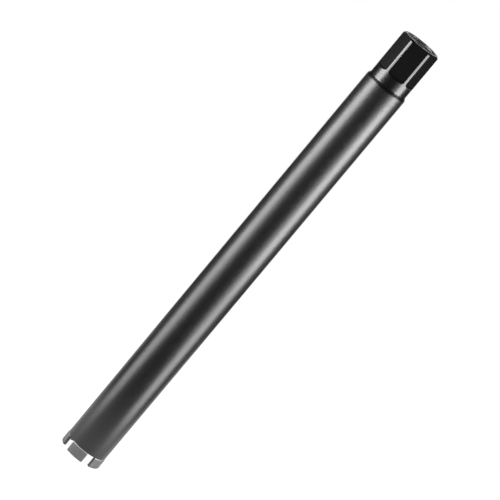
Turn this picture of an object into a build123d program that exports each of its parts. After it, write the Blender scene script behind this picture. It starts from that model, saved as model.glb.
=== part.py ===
"""Wet diamond core bit: a long steel core tube with a threaded spindle hub welded on one end and
five diamond segments welded round the rim of the other.

Millimetres, +Z up. The bit stands on its crown: the origin is on its axis, in the plane of the
segments' cutting faces, and the hub is at the top. The front wrench flat faces -Y.
"""
from build123d import *
import math
import os

# Core tube
TUBE_OUTER_DIAMETER = 43.5
TUBE_WALL = 2.0
TUBE_LENGTH = 446.3
TUBE_EDGE_BREAK = 0.3           # bevel round the outside of the tube's hub end

# Crown of diamond segments
SEGMENT_COUNT = 5
SEGMENT_HEIGHT = 11.1
SEGMENT_ARC_LENGTH = 19.1       # along the outside of the crown
SEGMENT_OUTER_RELIEF = 0.5      # how far a segment stands proud of the tube outside
SEGMENT_INNER_RELIEF = 0.7      # and inside
SEGMENT_SHOULDER_HEIGHT = 1.0   # slope from the segment's sides to its welded foot
SEGMENT_EDGE_BREAK = 0.4        # bevel round the cutting face
CROWN_TURN = -13.6              # degrees from the front flat to the nearest segment's middle

# Spindle hub
HUB_HEIGHT = 51.4               # above the tube
ACROSS_FLATS = 36.0
FLAT_COUNT = 6
FLAT_DEPTH = 2.1                # cut into the round bar at the middle of a flat
FLATS_START = 15.9              # from the tube to where the flats reach full depth
RUN_OUT_RADIUS = 3.2            # hollow left by the cutter at the foot of a flat
SHOULDER_LAND = 0.4             # plain band of the shoulder, flush with the tube
SHOULDER_LENGTH = 2.8           # slope between the tube's diameter and the bar's
SHOULDER_COVE_RADIUS = 2.0
HUB_CHAMFER = 1.7
SPIGOT_LENGTH = 8.0             # inside the tube
SPIGOT_CLEARANCE = 0.05         # radial, in the tube
SPIGOT_LEAD = 1.0
WATER_HOLE_DIAMETER = 18.0

# Bore for the spindle thread, 1 1/4 inch UNC, left plain at the thread's major diameter
THREAD_MAJOR_DIAMETER = 31.75
THREAD_DEPTH = 38.0             # from the hub's end face to the floor of the bore
COUNTERSINK_MARGIN = 0.4        # radial, outside the thread

# Worked out from the sizes above
tube_outer_radius = TUBE_OUTER_DIAMETER / 2
tube_inner_radius = tube_outer_radius - TUBE_WALL
tube_bottom = SEGMENT_HEIGHT
tube_top = tube_bottom + TUBE_LENGTH

segment_outer_radius = tube_outer_radius + SEGMENT_OUTER_RELIEF
segment_inner_radius = tube_inner_radius - SEGMENT_INNER_RELIEF
segment_sweep = math.degrees(SEGMENT_ARC_LENGTH / segment_outer_radius)
front = -90.0                   # direction of the front flat, in degrees from +X

hub_radius = ACROSS_FLATS / 2 + FLAT_DEPTH
hub_top = tube_top + HUB_HEIGHT
spigot_radius = tube_inner_radius - SPIGOT_CLEARANCE
spigot_bottom = tube_top - SPIGOT_LENGTH
shoulder_top = tube_top + SHOULDER_LAND + SHOULDER_LENGTH
water_hole_radius = WATER_HOLE_DIAMETER / 2

bore_radius = THREAD_MAJOR_DIAMETER / 2
bore_floor = hub_top - THREAD_DEPTH


def turned(outline, sweep=360.0):
    """A solid turned about Z from an outline of (radius, height) points."""
    with BuildPart() as solid:
        with BuildSketch(Plane.XZ):
            with BuildLine():
                Polyline(*outline, close=True)
            make_face()
        revolve(axis=Axis.Z, revolution_arc=sweep)
    return solid.part


def make_core_tube():
    """Welded or drawn steel tube, both ends cut square, its upper outer edge broken."""
    return turned([
        (tube_inner_radius, tube_bottom),
        (tube_outer_radius, tube_bottom),
        (tube_outer_radius, tube_top - TUBE_EDGE_BREAK),
        (tube_outer_radius - TUBE_EDGE_BREAK, tube_top),
        (tube_inner_radius, tube_top),
    ])


def make_segment(direction):
    """One sintered diamond segment: an arc of the crown, thicker than the tube's wall by its
    reliefs, that slopes in at the top to a foot of exactly the wall's width."""
    block = turned([
        (segment_inner_radius, 0),
        (segment_outer_radius, 0),
        (segment_outer_radius, SEGMENT_HEIGHT - SEGMENT_SHOULDER_HEIGHT),
        (tube_outer_radius, SEGMENT_HEIGHT),
        (tube_inner_radius, SEGMENT_HEIGHT),
        (segment_inner_radius, SEGMENT_HEIGHT - SEGMENT_SHOULDER_HEIGHT),
    ], segment_sweep)
    cutting_face = block.faces().sort_by(Axis.Z)[0]
    block = chamfer(cutting_face.edges(), SEGMENT_EDGE_BREAK)
    return Rot(0, 0, direction - segment_sweep / 2) * block


def make_flat_cut(direction):
    """What the cutter takes off for one flat: everything outside the flat's plane, down to a
    hollow run-out where it was lifted from the bar."""
    flat_plane = ACROSS_FLATS / 2
    full_depth = tube_top + FLATS_START
    outside = max(hub_radius, tube_outer_radius) + RUN_OUT_RADIUS
    with BuildPart() as cut:
        with BuildSketch(Plane.XZ):
            with BuildLine():
                wall = Line((flat_plane, hub_top + 1), (flat_plane, full_depth))
                hollow = TangentArc(
                    wall @ 1,
                    (flat_plane + RUN_OUT_RADIUS, full_depth - RUN_OUT_RADIUS),
                    tangent=wall % 1,
                )
                Polyline(
                    hollow @ 1,
                    (outside, full_depth - RUN_OUT_RADIUS),
                    (outside, hub_top + 1),
                    wall @ 0,
                )
            make_face()
        extrude(amount=hub_radius, both=True)
    return Rot(0, 0, direction) * cut.part


def make_threaded_hub():
    """Hub turned from one steel bar: spigot in the tube, shoulder flush with it, bored for the
    spindle thread and the water, then milled with six wrench flats."""
    hub = turned([
        (water_hole_radius, spigot_bottom),
        (spigot_radius - SPIGOT_LEAD, spigot_bottom),
        (spigot_radius, spigot_bottom + SPIGOT_LEAD),
        (spigot_radius, tube_top),
        (tube_outer_radius, tube_top),
        (tube_outer_radius, tube_top + SHOULDER_LAND),
        (hub_radius, shoulder_top),
        (hub_radius, hub_top - HUB_CHAMFER),
        (hub_radius - HUB_CHAMFER, hub_top),
        (bore_radius + COUNTERSINK_MARGIN, hub_top),
        (bore_radius, hub_top - COUNTERSINK_MARGIN),
        (bore_radius, bore_floor),
        (water_hole_radius, bore_floor),
    ])
    shoulder_foot = hub.edges().filter_by(GeomType.CIRCLE).group_by(
        lambda edge: abs(edge.arc_center.Z - shoulder_top)
    )[0]
    hub = fillet(shoulder_foot, SHOULDER_COVE_RADIUS)
    for index in range(FLAT_COUNT):
        hub -= make_flat_cut(front + index * 360 / FLAT_COUNT)
    return hub


parts = {
    "core_tube": make_core_tube(),
    "threaded_hub": make_threaded_hub(),
}
for index in range(SEGMENT_COUNT):
    middle = front + CROWN_TURN + index * 360 / SEGMENT_COUNT
    parts[f"segment_{index + 1}"] = make_segment(middle)

os.makedirs("parts", exist_ok=True)
for name, solid in parts.items():
    export_step(solid, f"parts/{name}.step")
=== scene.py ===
import math
import bpy
import numpy as np
from mathutils import Matrix, Vector


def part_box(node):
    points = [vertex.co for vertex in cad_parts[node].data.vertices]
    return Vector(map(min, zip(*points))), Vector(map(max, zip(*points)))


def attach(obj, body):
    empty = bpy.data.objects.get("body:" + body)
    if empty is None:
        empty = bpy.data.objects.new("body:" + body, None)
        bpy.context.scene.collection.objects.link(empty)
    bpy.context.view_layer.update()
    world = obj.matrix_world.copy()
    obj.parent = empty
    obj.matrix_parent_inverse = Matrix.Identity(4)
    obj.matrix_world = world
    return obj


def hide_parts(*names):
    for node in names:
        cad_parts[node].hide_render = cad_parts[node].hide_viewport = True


# Looks of a wet diamond core bit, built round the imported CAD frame. The bit stands on its crown at the
# origin, axis up. Everything is in metres, in the frame's own axes.
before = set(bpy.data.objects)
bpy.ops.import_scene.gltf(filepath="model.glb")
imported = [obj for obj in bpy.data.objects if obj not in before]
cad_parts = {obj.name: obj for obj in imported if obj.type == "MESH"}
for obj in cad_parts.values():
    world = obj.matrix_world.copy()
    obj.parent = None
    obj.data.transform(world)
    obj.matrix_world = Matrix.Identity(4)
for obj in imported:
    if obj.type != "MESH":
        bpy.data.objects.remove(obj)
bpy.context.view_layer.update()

# ---------------------------------------------------------------------------------------------
# Core tube: drawn steel tube, cut square and powder coated satin black after welding.
# The coat levels out almost smooth, so it shows long soft highlights with a very fine grain.
# ---------------------------------------------------------------------------------------------
MM = 0.001                         # a millimetre, in metres
CLOUD_SIZE = 30 * MM               # patches in which the coat is a shade dustier
PEEL_DEPTH = 0.035                 # height of the orange peel, as a share of its size
PEEL_SHEEN = 0.12                  # how far the peel takes the roughness up and down


def linear(colour):
    """sRGB hex such as "1c1c1e" to the linear colour that Blender works in, with alpha 1."""
    srgb = np.array([int(colour[i:i + 2], 16) for i in (0, 2, 4)]) / 255
    light = np.where(srgb <= 0.04045, srgb / 12.92, ((srgb + 0.055) / 1.055) ** 2.4)
    return (*light.tolist(), 1.0)


def add_node(tree, kind, settings=None, links=None):
    """Adds a node, sets its properties or unlinked inputs, and links its inputs from other sockets."""
    node = tree.nodes.new(kind)
    for name, value in (settings or {}).items():
        if isinstance(name, str) and hasattr(node, name):
            setattr(node, name, value)
        else:
            node.inputs[name].default_value = value
    for name, socket in (links or {}).items():
        tree.links.new(socket, node.inputs[name])
    return node


def dress(piece, material):
    """Gives a piece its one material."""
    piece.data.materials.clear()
    piece.data.materials.append(material)


def powder_coat(tree, colour, dusty, roughness, peel_size):
    """Shader of a black polyester powder coat: a dielectric film, cured from powder grains of about
    40 micrometres that melt into a faint orange peel. It gives a soft sheen with a fine grain in it. The
    peel is a millimetre or two across on the tube, and finer on the hub's thinner coat."""
    place = add_node(tree, "ShaderNodeTexCoord").outputs["Object"]
    cloud = add_node(tree, "ShaderNodeTexNoise", {"Scale": 1 / CLOUD_SIZE, "Detail": 3.0}, {"Vector": place})
    tint = add_node(tree, "ShaderNodeMix", {"data_type": "RGBA", 6: linear(colour), 7: linear(dusty)},
                    {0: cloud.outputs["Fac"]})
    peel = add_node(tree, "ShaderNodeTexNoise", {"Scale": 1 / peel_size, "Detail": 1.0}, {"Vector": place})
    sheen = add_node(tree, "ShaderNodeMapRange",
                     {"To Min": roughness - PEEL_SHEEN, "To Max": roughness + PEEL_SHEEN},
                     {"Value": peel.outputs["Fac"]})
    bump = add_node(tree, "ShaderNodeBump", {"Distance": PEEL_DEPTH * peel_size},
                    {"Height": peel.outputs["Fac"]})
    return add_node(tree, "ShaderNodeBsdfPrincipled", {"IOR": 1.5}, {
        "Base Color": tint.outputs[2], "Roughness": sheen.outputs["Result"],
        "Normal": bump.outputs["Normal"]}).outputs["BSDF"]


def finish_material(name, shader_of):
    """A material whose surface is the shader that shader_of makes in its tree."""
    material = bpy.data.materials.new(name)
    material.use_nodes = True
    material.node_tree.nodes.clear()
    add_node(material.node_tree, "ShaderNodeOutputMaterial", links={"Surface": shader_of(material.node_tree)})
    return material


dress(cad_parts["core_tube"], finish_material(
    "satin_black_powder_coat", lambda tree: powder_coat(tree, "090909", "0e0e0e", 0.36, 1.5 * MM)))

# ---------------------------------------------------------------------------------------------
# Threaded hub: turned and milled from one steel bar, welded into the tube and coated with it. A
# thinner, glossier coat lies on it. The bore was masked off, so it is bare steel as the cutter left it.
# ---------------------------------------------------------------------------------------------
BARE_RADIUS = 16.28 * MM           # the bore and its countersink lie inside this
MARK_SIZE = 0.5 * MM               # feed marks, drawn coarser than the cutter's 0.1 mm feed, to show


def machined_steel(tree):
    """Shader of turned low-carbon steel, left as cut: a dull grey shine, broken up by feed marks."""
    place = add_node(tree, "ShaderNodeTexCoord").outputs["Object"]
    marks = add_node(tree, "ShaderNodeTexNoise", {"Scale": 1 / MARK_SIZE, "Detail": 2.0}, {"Vector": place})
    tint = add_node(tree, "ShaderNodeMix", {"data_type": "RGBA", 6: linear("747474"), 7: linear("929292")},
                    {0: marks.outputs["Fac"]})
    rough = add_node(tree, "ShaderNodeMapRange", {"To Min": 0.48, "To Max": 0.6},
                     {"Value": marks.outputs["Fac"]})
    return add_node(tree, "ShaderNodeBsdfPrincipled", {"Metallic": 1.0}, {
        "Base Color": tint.outputs[2], "Roughness": rough.outputs["Result"]}).outputs["BSDF"]


def coated_hub(tree):
    """The coat outside and bare steel inside, parted at a radius from the hub's axis."""
    place = add_node(tree, "ShaderNodeTexCoord").outputs["Object"]
    level = add_node(tree, "ShaderNodeVectorMath", {"operation": "MULTIPLY", 1: (1, 1, 0)}, {0: place})
    radius = add_node(tree, "ShaderNodeVectorMath", {"operation": "LENGTH"}, {0: level.outputs["Vector"]})
    inside = add_node(tree, "ShaderNodeMath", {"operation": "LESS_THAN", 1: BARE_RADIUS},
                      {0: radius.outputs["Value"]})
    return add_node(tree, "ShaderNodeMixShader", links={
        0: inside.outputs["Value"], 1: powder_coat(tree, "050505", "080808", 0.28, 0.6 * MM),
        2: machined_steel(tree)}).outputs["Shader"]


dress(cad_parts["threaded_hub"], finish_material("semi_gloss_black_coat", coated_hub))

# ---------------------------------------------------------------------------------------------
# Spindle thread: 1 1/4 inch, 7 threads per inch UNC, cut in the hub's bore with a single-point tool.
# The bore was masked off for coating, so the ridges are bare machined steel. Its countersink trims them.
# ---------------------------------------------------------------------------------------------
THREAD_PITCH = 25.4 / 7 * MM
THREAD_ROOT_RADIUS = 15.875 * MM
THREAD_DEPTH_OF_CUT = 5 / 8 * math.sqrt(3) / 2 * THREAD_PITCH     # 60 degree form, flat crests
THREAD_HIDDEN = 0.06 * MM          # how far the ridge's back lies inside the bore's wall
THREAD_FLOOR_RELIEF = 1.2 * MM     # plain bore left under the last turn
THREAD_TOP_GAP = 0.02 * MM         # the ridge stops this far under the hub's end face
THREAD_RUN_IN = 0.5                # turns over which the ridge rises from the wall
BORE_DEPTH = 38.0 * MM
COUNTERSINK_RADIUS = 16.275 * MM   # of the 45 degree cone, at the hub's end face
hub_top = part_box("threaded_hub")[1][2]
bore_floor = hub_top - BORE_DEPTH


def new_piece(name, points, faces, material, smooth=True):
    """A mesh object from point and face lists, in its one material."""
    mesh = bpy.data.meshes.new(name)
    mesh.from_pydata(np.asarray(points).reshape(-1, 3).tolist(), [], faces)
    mesh.polygons.foreach_set("use_smooth", np.full(len(mesh.polygons), smooth))
    piece = bpy.data.objects.new(name, mesh)
    bpy.context.scene.collection.objects.link(piece)
    dress(piece, material)
    return piece


def tube_faces(rows, columns):
    """Faces of a closed tube: rows of rings with columns points each, and one face over each end."""
    row, column = np.meshgrid(np.arange(rows - 1), np.arange(columns), indexing="ij")
    here, beside = row * columns + column, row * columns + (column + 1) % columns
    sides = np.stack([here, beside, beside + columns, here + columns], axis=-1).reshape(-1, 4).tolist()
    last = (rows - 1) * columns
    return sides + [list(range(columns))[::-1], list(range(last, last + columns))]


def helical_ridge(low, high, steps=144):
    """One ridge of the thread from low to high, with so many steps a turn. Its section is a trapezium with
    a crest a quarter of a pitch wide and 30 degree flanks, whose back is hidden in the wall. It climbs one
    pitch a turn, right-handed. A point's radius is never less than the countersink's cone at that height,
    and the run-in at each end sinks into the wall."""
    flank = THREAD_DEPTH_OF_CUT * math.tan(math.radians(30))
    crest = THREAD_PITCH / 8
    back = crest + flank * (1 + THREAD_HIDDEN / THREAD_DEPTH_OF_CUT)
    turns = (high - low) / THREAD_PITCH
    turn = np.linspace(0, turns, int(turns * steps) + 1)[:, None]
    height = np.array([-back, -crest, crest, back])[None, :]
    depth = np.array([-THREAD_HIDDEN, THREAD_DEPTH_OF_CUT, THREAD_DEPTH_OF_CUT, -THREAD_HIDDEN])[None, :]
    sink = np.clip(np.minimum(turn, turns - turn) / THREAD_RUN_IN, 0, 1)
    z = np.minimum(low + turn * THREAD_PITCH + height, hub_top - THREAD_TOP_GAP)
    radius = THREAD_ROOT_RADIUS - np.where(depth > 0, depth * sink, depth)
    cone = COUNTERSINK_RADIUS - (hub_top - z)
    radius = np.maximum(radius, np.where(depth > 0, cone, cone + THREAD_HIDDEN))
    angle = 2 * math.pi * turn + 0 * height
    points = np.stack([radius * np.cos(angle), radius * np.sin(angle), z], axis=-1)
    return points.reshape(-1, 3), tube_faces(len(turn), 4)


steel = finish_material("bare_machined_steel", machined_steel)
ridge_points, ridge_faces = helical_ridge(bore_floor + THREAD_FLOOR_RELIEF, hub_top)
thread = new_piece("spindle_thread", ridge_points, ridge_faces, steel, smooth=False)
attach(thread, "root")

# ---------------------------------------------------------------------------------------------
# Diamond segments: cobalt and iron powder hot-pressed with synthetic diamond, ground to the crown's
# radii and laser welded to the tube's rim. New ones show a grey matrix with the first grains freed.
# ---------------------------------------------------------------------------------------------
SEGMENT_COUNT = 5
SEGMENT_RECESS = 0.08 * MM         # matrix worn back from the tips of the diamonds
GRAIN_SIZE = 0.42 * MM             # 40/50 mesh diamond
GRAIN_COUNT = 260                  # showing on one segment
GRAIN_RANGE = (0.75, 1.0)          # sizes of the grains, as shares of the largest
GRAIN_TIP = 0.96                   # how far a grain's tips reach, as a share of its half size
GRAIN_STEP = 0.1 * MM              # between the places on the outline where a grain may sit
GRAIN_SHADE_SIZE = 1.5 * MM        # over which grains differ in shade
SEGMENT_RADII = (19.05 * MM, 22.25 * MM)
SEGMENT_ARC_LENGTH = 19.1 * MM     # along the outside
SEGMENT_SHOULDER = 1.0 * MM        # height over which the block narrows to the tube's wall
SEGMENT_EDGE_BREAK = 0.4 * MM
TUBE_RADII = (19.75 * MM, 21.75 * MM)
CROWN_TURN = -13.6                 # degrees from the front to the nearest segment's middle
WELD_WIDTH = 0.9 * MM              # seam left by the laser, at the segment's foot
MATRIX_STEP = 0.35 * MM            # between points of the block's outline
MATRIX_SECTIONS = 56               # along the arc
MATRIX_END_SHRINK = (0.05, 0.35, 0.65, 0.9, 1.0)     # sections that close each end
CORE_LINE = (1.4 * MM, 1.2 * MM)   # the ends close on a line this far from the block's face and foot
PORE_SIZE = 0.35 * MM              # drawn coarser than the real 0.05 mm, to show
PORE_DEPTH = 0.05 * MM
SPECK_SIZE = 0.6 * MM              # clusters of cobalt and iron powder
segment_sweep = SEGMENT_ARC_LENGTH / SEGMENT_RADII[1]
segment_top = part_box("segment_1")[1][2]
nearest_middle = math.radians(-90 + CROWN_TURN)


def segment_section():
    """The segment's (radius, height) outline, from its foot down the outside and up the inside."""
    inner, outer = SEGMENT_RADII
    return np.array([
        (TUBE_RADII[1], segment_top), (outer, segment_top - SEGMENT_SHOULDER), (outer, SEGMENT_EDGE_BREAK),
        (outer - SEGMENT_EDGE_BREAK, 0), (inner + SEGMENT_EDGE_BREAK, 0), (inner, SEGMENT_EDGE_BREAK),
        (inner, segment_top - SEGMENT_SHOULDER), (TUBE_RADII[0], segment_top)])


def evenly_spaced(outline, step):
    """Points at even steps round a closed outline, with the outward normal at each."""
    loop = np.vstack([outline, outline[:1]])
    walked = np.concatenate([[0], np.cumsum(np.hypot(*np.diff(loop, axis=0).T))])
    at = np.linspace(0, walked[-1], int(walked[-1] / step), endpoint=False)
    points = np.column_stack([np.interp(at, walked, loop[:, 0]), np.interp(at, walked, loop[:, 1])])
    ahead, behind = np.roll(points, -1, axis=0), np.roll(points, 1, axis=0)
    along = (ahead - behind) / np.hypot(*(ahead - behind).T)[:, None]
    return points, np.column_stack([-along[:, 1], along[:, 0]])


def segment_matrix(middle):
    """The block of matrix: the outline set in from its true place by the recess, carried round the arc
    in even steps and drawn together to its centre line over each end. Its foot stays on the tube's rim."""
    points, normals = evenly_spaced(segment_section(), MATRIX_STEP)
    inset = points - normals * SEGMENT_RECESS
    inset[points[:, 1] > segment_top - 0.05 * MM, 1] = segment_top
    core = np.column_stack([np.full(len(points), sum(SEGMENT_RADII) / 2),
                            np.clip(inset[:, 1], CORE_LINE[0], segment_top - CORE_LINE[1])])
    end = segment_sweep / 2 - SEGMENT_RECESS / SEGMENT_RADII[1]
    shrink = np.array(MATRIX_END_SHRINK)
    arc = np.linspace(-end, end, MATRIX_SECTIONS)[1:-1]
    turns = np.concatenate([0 * shrink - end, arc, 0 * shrink + end])[:, None]
    scale = np.concatenate([shrink, np.ones(len(arc)), shrink[::-1]])[:, None]
    radius = core[:, 0] + (inset[:, 0] - core[:, 0]) * scale
    height = core[:, 1] + (inset[:, 1] - core[:, 1]) * scale
    angle = middle + turns + 0 * radius
    block = np.stack([radius * np.cos(angle), radius * np.sin(angle), height], axis=-1)
    return block, tube_faces(*radius.shape)


def diamond_grains(middle, seed):
    """Blocky octahedra with random turns, partly sunk in the matrix, their tips just inside the segment's
    true surface. They are spread at random over the outside, the inside and the cutting face."""
    chance = np.random.default_rng(seed)
    points, normals = evenly_spaced(segment_section(), GRAIN_STEP)
    keep = points[:, 1] < segment_top - SEGMENT_SHOULDER - GRAIN_SIZE
    points, normals = points[keep], normals[keep]
    pick = chance.integers(0, len(points), GRAIN_COUNT)
    reach = segment_sweep / 2 - GRAIN_SIZE / SEGMENT_RADII[1]
    angle = middle + chance.uniform(-reach, reach, GRAIN_COUNT)
    half = GRAIN_SIZE / 2 * chance.uniform(*GRAIN_RANGE, GRAIN_COUNT)
    seat = points[pick] - normals[pick] * half[:, None]
    centre = np.column_stack([seat[:, 0] * np.cos(angle), seat[:, 0] * np.sin(angle), seat[:, 1]])
    corners = np.array([(1, 0, 0), (-1, 0, 0), (0, 1, 0), (0, -1, 0), (0, 0, 1), (0, 0, -1)]) * GRAIN_TIP
    frame_of, _ = np.linalg.qr(chance.normal(size=(GRAIN_COUNT, 3, 3)))
    frame_of *= np.sign(np.linalg.det(frame_of))[:, None, None]
    shape = np.einsum("nij,kj->nki", frame_of, corners) * half[:, None, None]
    triangles = np.array([(0, 2, 4), (2, 1, 4), (1, 3, 4), (3, 0, 4),
                          (2, 0, 5), (1, 2, 5), (3, 1, 5), (0, 3, 5)])
    faces = (np.arange(GRAIN_COUNT)[:, None, None] * 6 + triangles).reshape(-1, 3)
    return centre[:, None, :] + shape, faces.tolist()


def sintered_matrix(tree):
    """Shader of hot-pressed cobalt and iron: dull metal grey, mottled by its powder, with pores. The
    laser's seam at its foot has melted to a thin line of brighter metal."""
    place = add_node(tree, "ShaderNodeTexCoord").outputs["Object"]
    speck = add_node(tree, "ShaderNodeTexNoise", {"Scale": 1 / SPECK_SIZE, "Detail": 4.0}, {"Vector": place})
    tint = add_node(tree, "ShaderNodeMix", {"data_type": "RGBA", 6: linear("4a4a4a"), 7: linear("686868")},
                    {0: speck.outputs["Fac"]})
    height = add_node(tree, "ShaderNodeSeparateXYZ", links={0: place})
    seam = add_node(tree, "ShaderNodeMapRange", {"From Min": segment_top - WELD_WIDTH,
                                                 "From Max": segment_top - WELD_WIDTH / 2},
                    {"Value": height.outputs["Z"]})
    welded = add_node(tree, "ShaderNodeMix", {"data_type": "RGBA", 7: linear("868686")},
                      {0: seam.outputs["Result"], 6: tint.outputs[2]})
    pores = add_node(tree, "ShaderNodeTexVoronoi", {"Scale": 1 / PORE_SIZE}, {"Vector": place})
    bump = add_node(tree, "ShaderNodeBump", {"Strength": 0.35, "Distance": PORE_DEPTH},
                    {"Height": pores.outputs["Distance"]})
    return add_node(tree, "ShaderNodeBsdfPrincipled", {"Metallic": 0.6, "Roughness": 0.55}, {
        "Base Color": welded.outputs[2], "Normal": bump.outputs["Normal"]}).outputs["BSDF"]


def synthetic_diamond(tree):
    """Shader of blocky synthetic diamond, dulled by grinding, so that it only glints a little."""
    place = add_node(tree, "ShaderNodeTexCoord").outputs["Object"]
    cloud = add_node(tree, "ShaderNodeTexNoise", {"Scale": 1 / GRAIN_SHADE_SIZE}, {"Vector": place})
    tint = add_node(tree, "ShaderNodeMix", {"data_type": "RGBA", 6: linear("6b6b66"), 7: linear("8f8f84")},
                    {0: cloud.outputs["Fac"]})
    return add_node(tree, "ShaderNodeBsdfPrincipled", {"IOR": 2.42, "Roughness": 0.35}, {
        "Base Color": tint.outputs[2]}).outputs["BSDF"]


bond = finish_material("sintered_metal_bond", sintered_matrix)
diamond = finish_material("synthetic_diamond", synthetic_diamond)
for index in range(SEGMENT_COUNT):
    middle = nearest_middle + index * 2 * math.pi / SEGMENT_COUNT
    block = new_piece(f"segment_{index + 1}_bond", *segment_matrix(middle), bond)
    grains = new_piece(f"segment_{index + 1}_grit", *diamond_grains(middle, index), diamond, smooth=False)
    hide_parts(f"segment_{index + 1}")
    for piece in (block, grains):
        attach(piece, "root")

# ---------------------------------------------------------------------------------------------
# Camera: a long lens 2.65 m away and 13 degrees above level, rolled so that the upright bit lies
# slantwise across a square picture.
# ---------------------------------------------------------------------------------------------
FRONT_AZIMUTH = math.radians(-94.75)
CAMERA_ELEVATION = math.radians(12.95)
CAMERA_ROLL = math.radians(39.84)
CAMERA_DISTANCE = 2.652
FOCAL_LENGTH = 205.2
SENSOR_WIDTH = 36.0
aim = Vector((0, 0, 0.2581))


def direction(azimuth, elevation):
    """Unit vector at an azimuth from +X and an elevation above the floor, both in radians."""
    return Vector((math.cos(elevation) * math.cos(azimuth),
                   math.cos(elevation) * math.sin(azimuth), math.sin(elevation)))


def facing(place, target, roll=0.0):
    """World matrix at place whose -Z axis looks at target, rolled about that axis."""
    turn = (place - target).to_track_quat("Z", "Y").to_matrix().to_4x4()
    return Matrix.Translation(place) @ turn @ Matrix.Rotation(roll, 4, "Z")


camera = bpy.data.objects.new("camera", bpy.data.cameras.new("camera"))
camera.data.sensor_width = SENSOR_WIDTH
camera.data.lens = FOCAL_LENGTH
camera.data.clip_end = 100
eye = aim + CAMERA_DISTANCE * direction(FRONT_AZIMUTH, CAMERA_ELEVATION)
camera.matrix_world = facing(eye, aim, CAMERA_ROLL)
bpy.context.scene.collection.objects.link(camera)
bpy.context.scene.camera = camera

# ---------------------------------------------------------------------------------------------
# Lamps: a column of soft boxes close to the bit on its left and another on its right, which draw the
# two long highlights down the coat. Narrow panels between them lift the coat beside the highlights.
# ---------------------------------------------------------------------------------------------
LAMP_DISTANCE = 0.2                # from the bit's axis to every lamp
LAMPS = (                          # name, turn from the camera, width, foot, top, watts a metre of height
    ("left_foot_box", -67, 0.12, 0.002, 0.08, 2.6),
    ("left_low_box", -67, 0.12, 0.08, 0.20, 3.2),
    ("left_middle_box", -67, 0.12, 0.20, 0.34, 4.2),
    ("left_top_box", -64, 0.12, 0.34, 0.58, 5.4),
    ("right_foot_box", 71, 0.12, 0.002, 0.08, 3.4),
    ("right_low_box", 71, 0.12, 0.08, 0.20, 3.7),
    ("right_middle_box", 72, 0.12, 0.20, 0.34, 5.4),
    ("right_top_box", 72, 0.12, 0.34, 0.44, 6.4),
    ("right_head_box", 73, 0.12, 0.44, 0.58, 4.2),
    ("left_hub_box", -51, 0.04, 0.44, 0.54, 1.1),
    ("left_fill_panel", -42, 0.05, 0.10, 0.44, 0.4),
    ("right_fill_panel", 45, 0.05, 0.10, 0.44, 0.5),
)


def place_lamp(name, place, target, width, height, watts):
    """Rectangular soft box at place, facing target, that the camera itself does not see."""
    lamp = bpy.data.lights.new(name, "AREA")
    lamp.shape = "RECTANGLE"
    lamp.size, lamp.size_y = width, height
    lamp.energy = watts
    holder = bpy.data.objects.new(name, lamp)
    holder.matrix_world = facing(place, target)
    holder.visible_camera = False
    bpy.context.scene.collection.objects.link(holder)


for name, turn, width, foot, top, watts in LAMPS:
    middle = Vector((0, 0, (foot + top) / 2))
    place_lamp(name, LAMP_DISTANCE * direction(FRONT_AZIMUTH + math.radians(turn), 0) + middle, middle,
               width, top - foot, watts * (top - foot))

# ---------------------------------------------------------------------------------------------
# Floor and background: white paper under a white sky. They give a dim even fill, and are white to the
# rays that see them directly or in a reflection. The paper also takes the lamps' light and shadows.
# ---------------------------------------------------------------------------------------------
FLOOR_RADIUS = 12.0
FLOOR_SIDES = 96
FILL_STRENGTH = 0.25               # of the sky, on what it lights
PAPER_LIFT = 0.945                 # of the floor as seen, which its own lit paper brings to white


def seen_directly(tree):
    """1 for camera, glossy and transmission rays, which see the white background itself."""
    rays = add_node(tree, "ShaderNodeLightPath").outputs
    first = add_node(tree, "ShaderNodeMath", {"operation": "MAXIMUM"},
                     {0: rays["Is Camera Ray"], 1: rays["Is Glossy Ray"]})
    both = add_node(tree, "ShaderNodeMath", {"operation": "MAXIMUM"},
                    {0: first.outputs["Value"], 1: rays["Is Transmission Ray"]})
    return both.outputs["Value"]


world = bpy.data.worlds.new("studio")
bpy.context.scene.world = world
world.use_nodes = True
world.node_tree.nodes.clear()
pale = linear("ffffff")
fill = add_node(world.node_tree, "ShaderNodeBackground", {"Color": pale, "Strength": FILL_STRENGTH})
white = add_node(world.node_tree, "ShaderNodeBackground", {"Color": pale, "Strength": 1.0})
sky = add_node(world.node_tree, "ShaderNodeMixShader", links={
    0: seen_directly(world.node_tree), 1: fill.outputs[0], 2: white.outputs[0]})
add_node(world.node_tree, "ShaderNodeOutputWorld", links={"Surface": sky.outputs[0]})


def white_paper(tree):
    """Shader of a white paper roll: plain pale paper to other light. Where the camera or a reflection sees
    it, it is the white background, partly made by lit paper that a deep shadow can still darken."""
    paper = add_node(tree, "ShaderNodeBsdfDiffuse", {"Color": linear("d8d8d8")})
    lift = add_node(tree, "ShaderNodeEmission", {"Color": linear("ffffff"), "Strength": PAPER_LIFT})
    soft = add_node(tree, "ShaderNodeBsdfDiffuse", {"Color": linear("808080")})
    lit = add_node(tree, "ShaderNodeAddShader", links={0: soft.outputs[0], 1: lift.outputs[0]})
    return add_node(tree, "ShaderNodeMixShader", links={
        0: seen_directly(tree), 1: paper.outputs[0], 2: lit.outputs[0]}).outputs["Shader"]


around = np.linspace(0, 2 * math.pi, FLOOR_SIDES, endpoint=False)
floor_rim = FLOOR_RADIUS * np.column_stack([np.cos(around), np.sin(around), 0 * around])
paper_roll = finish_material("white_paper", white_paper)
floor = new_piece("studio_floor", floor_rim, [list(range(FLOOR_SIDES))], paper_roll)

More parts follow.
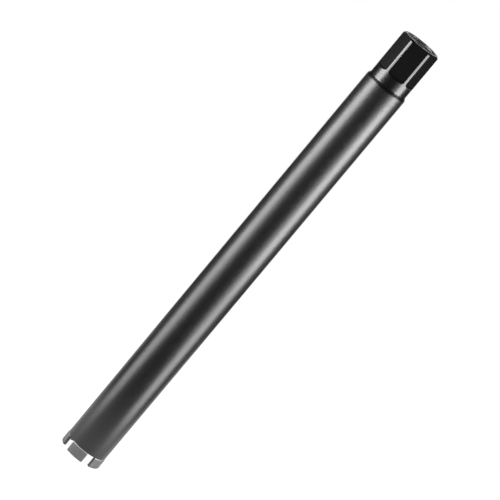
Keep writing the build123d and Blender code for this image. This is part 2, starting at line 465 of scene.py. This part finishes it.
# ---------------------------------------------------------------------------------------------
# Black flags: velvet screens before the bit and at its sides, seen only in reflections. They keep the
# middle of the coat dark. The floor near the bit and the background behind it stay white in the coat.
# ---------------------------------------------------------------------------------------------
FLAG_DISTANCE = 1.6                # from the bit's axis to the upright velvet
FLAG_HEIGHT = 2.0
PILE_SIZE = 4 * MM                 # patches in which the velvet's pile lies another way
FLAG_LIFT = 0.004                  # of the velvet's front edge over the floor
FLAG_ROOF = (0.1, FLAG_HEIGHT + 0.2)    # radius and height at which the velvet ends overhead
FLAGS = (                          # name, floor left white round the bit, first turn, last turn
    ("front_flag", 0.20, -130, 130),
    ("left_flag", 0.55, -155, -130),
    ("right_flag", 0.55, 130, 155),
)


def turned_sheet(name, outline, start, stop, steps=48):
    """Open sheet of revolution: each point of an outline of (radius, height) goes round Z in equal
    steps, between two turns from the camera's direction."""
    outline = np.array(outline)
    angle = FRONT_AZIMUTH + np.radians(np.linspace(start, stop, steps + 1))
    points = np.stack([outline[:, :1] * np.cos(angle), outline[:, :1] * np.sin(angle),
                       outline[:, 1:] + 0 * angle], axis=-1)
    row, column = np.meshgrid(np.arange(len(outline) - 1), np.arange(steps), indexing="ij")
    here = row * (steps + 1) + column
    faces = np.stack([here, here + 1, here + steps + 2, here + steps + 1], axis=-1).reshape(-1, 4)
    return new_piece(name, points, faces.tolist(), black_velvet)


def velvet(tree):
    """Shader of black velvet: its pile swallows light, a little unevenly."""
    place = add_node(tree, "ShaderNodeTexCoord").outputs["Object"]
    pile = add_node(tree, "ShaderNodeTexNoise", {"Scale": 1 / PILE_SIZE}, {"Vector": place})
    nap = add_node(tree, "ShaderNodeMix", {"data_type": "RGBA", 6: linear("0a0a0a"), 7: linear("101010")},
                   {0: pile.outputs["Fac"]})
    return add_node(tree, "ShaderNodeBsdfDiffuse", links={"Color": nap.outputs[2]}).outputs["BSDF"]


black_velvet = finish_material("black_velvet", velvet)
for name, clear, start, stop in FLAGS:
    flag = turned_sheet(name, [(clear, FLAG_LIFT), (FLAG_DISTANCE, 1.5 * FLAG_LIFT),
                               (FLAG_DISTANCE, FLAG_HEIGHT), FLAG_ROOF], start, stop)
    flag.visible_camera = flag.visible_diffuse = flag.visible_shadow = flag.visible_transmission = False

# ---------------------------------------------------------------------------------------------
# View: colours are shown plainly, with Blender's standard view transform.
# ---------------------------------------------------------------------------------------------
bpy.context.scene.view_settings.view_transform = "Standard"
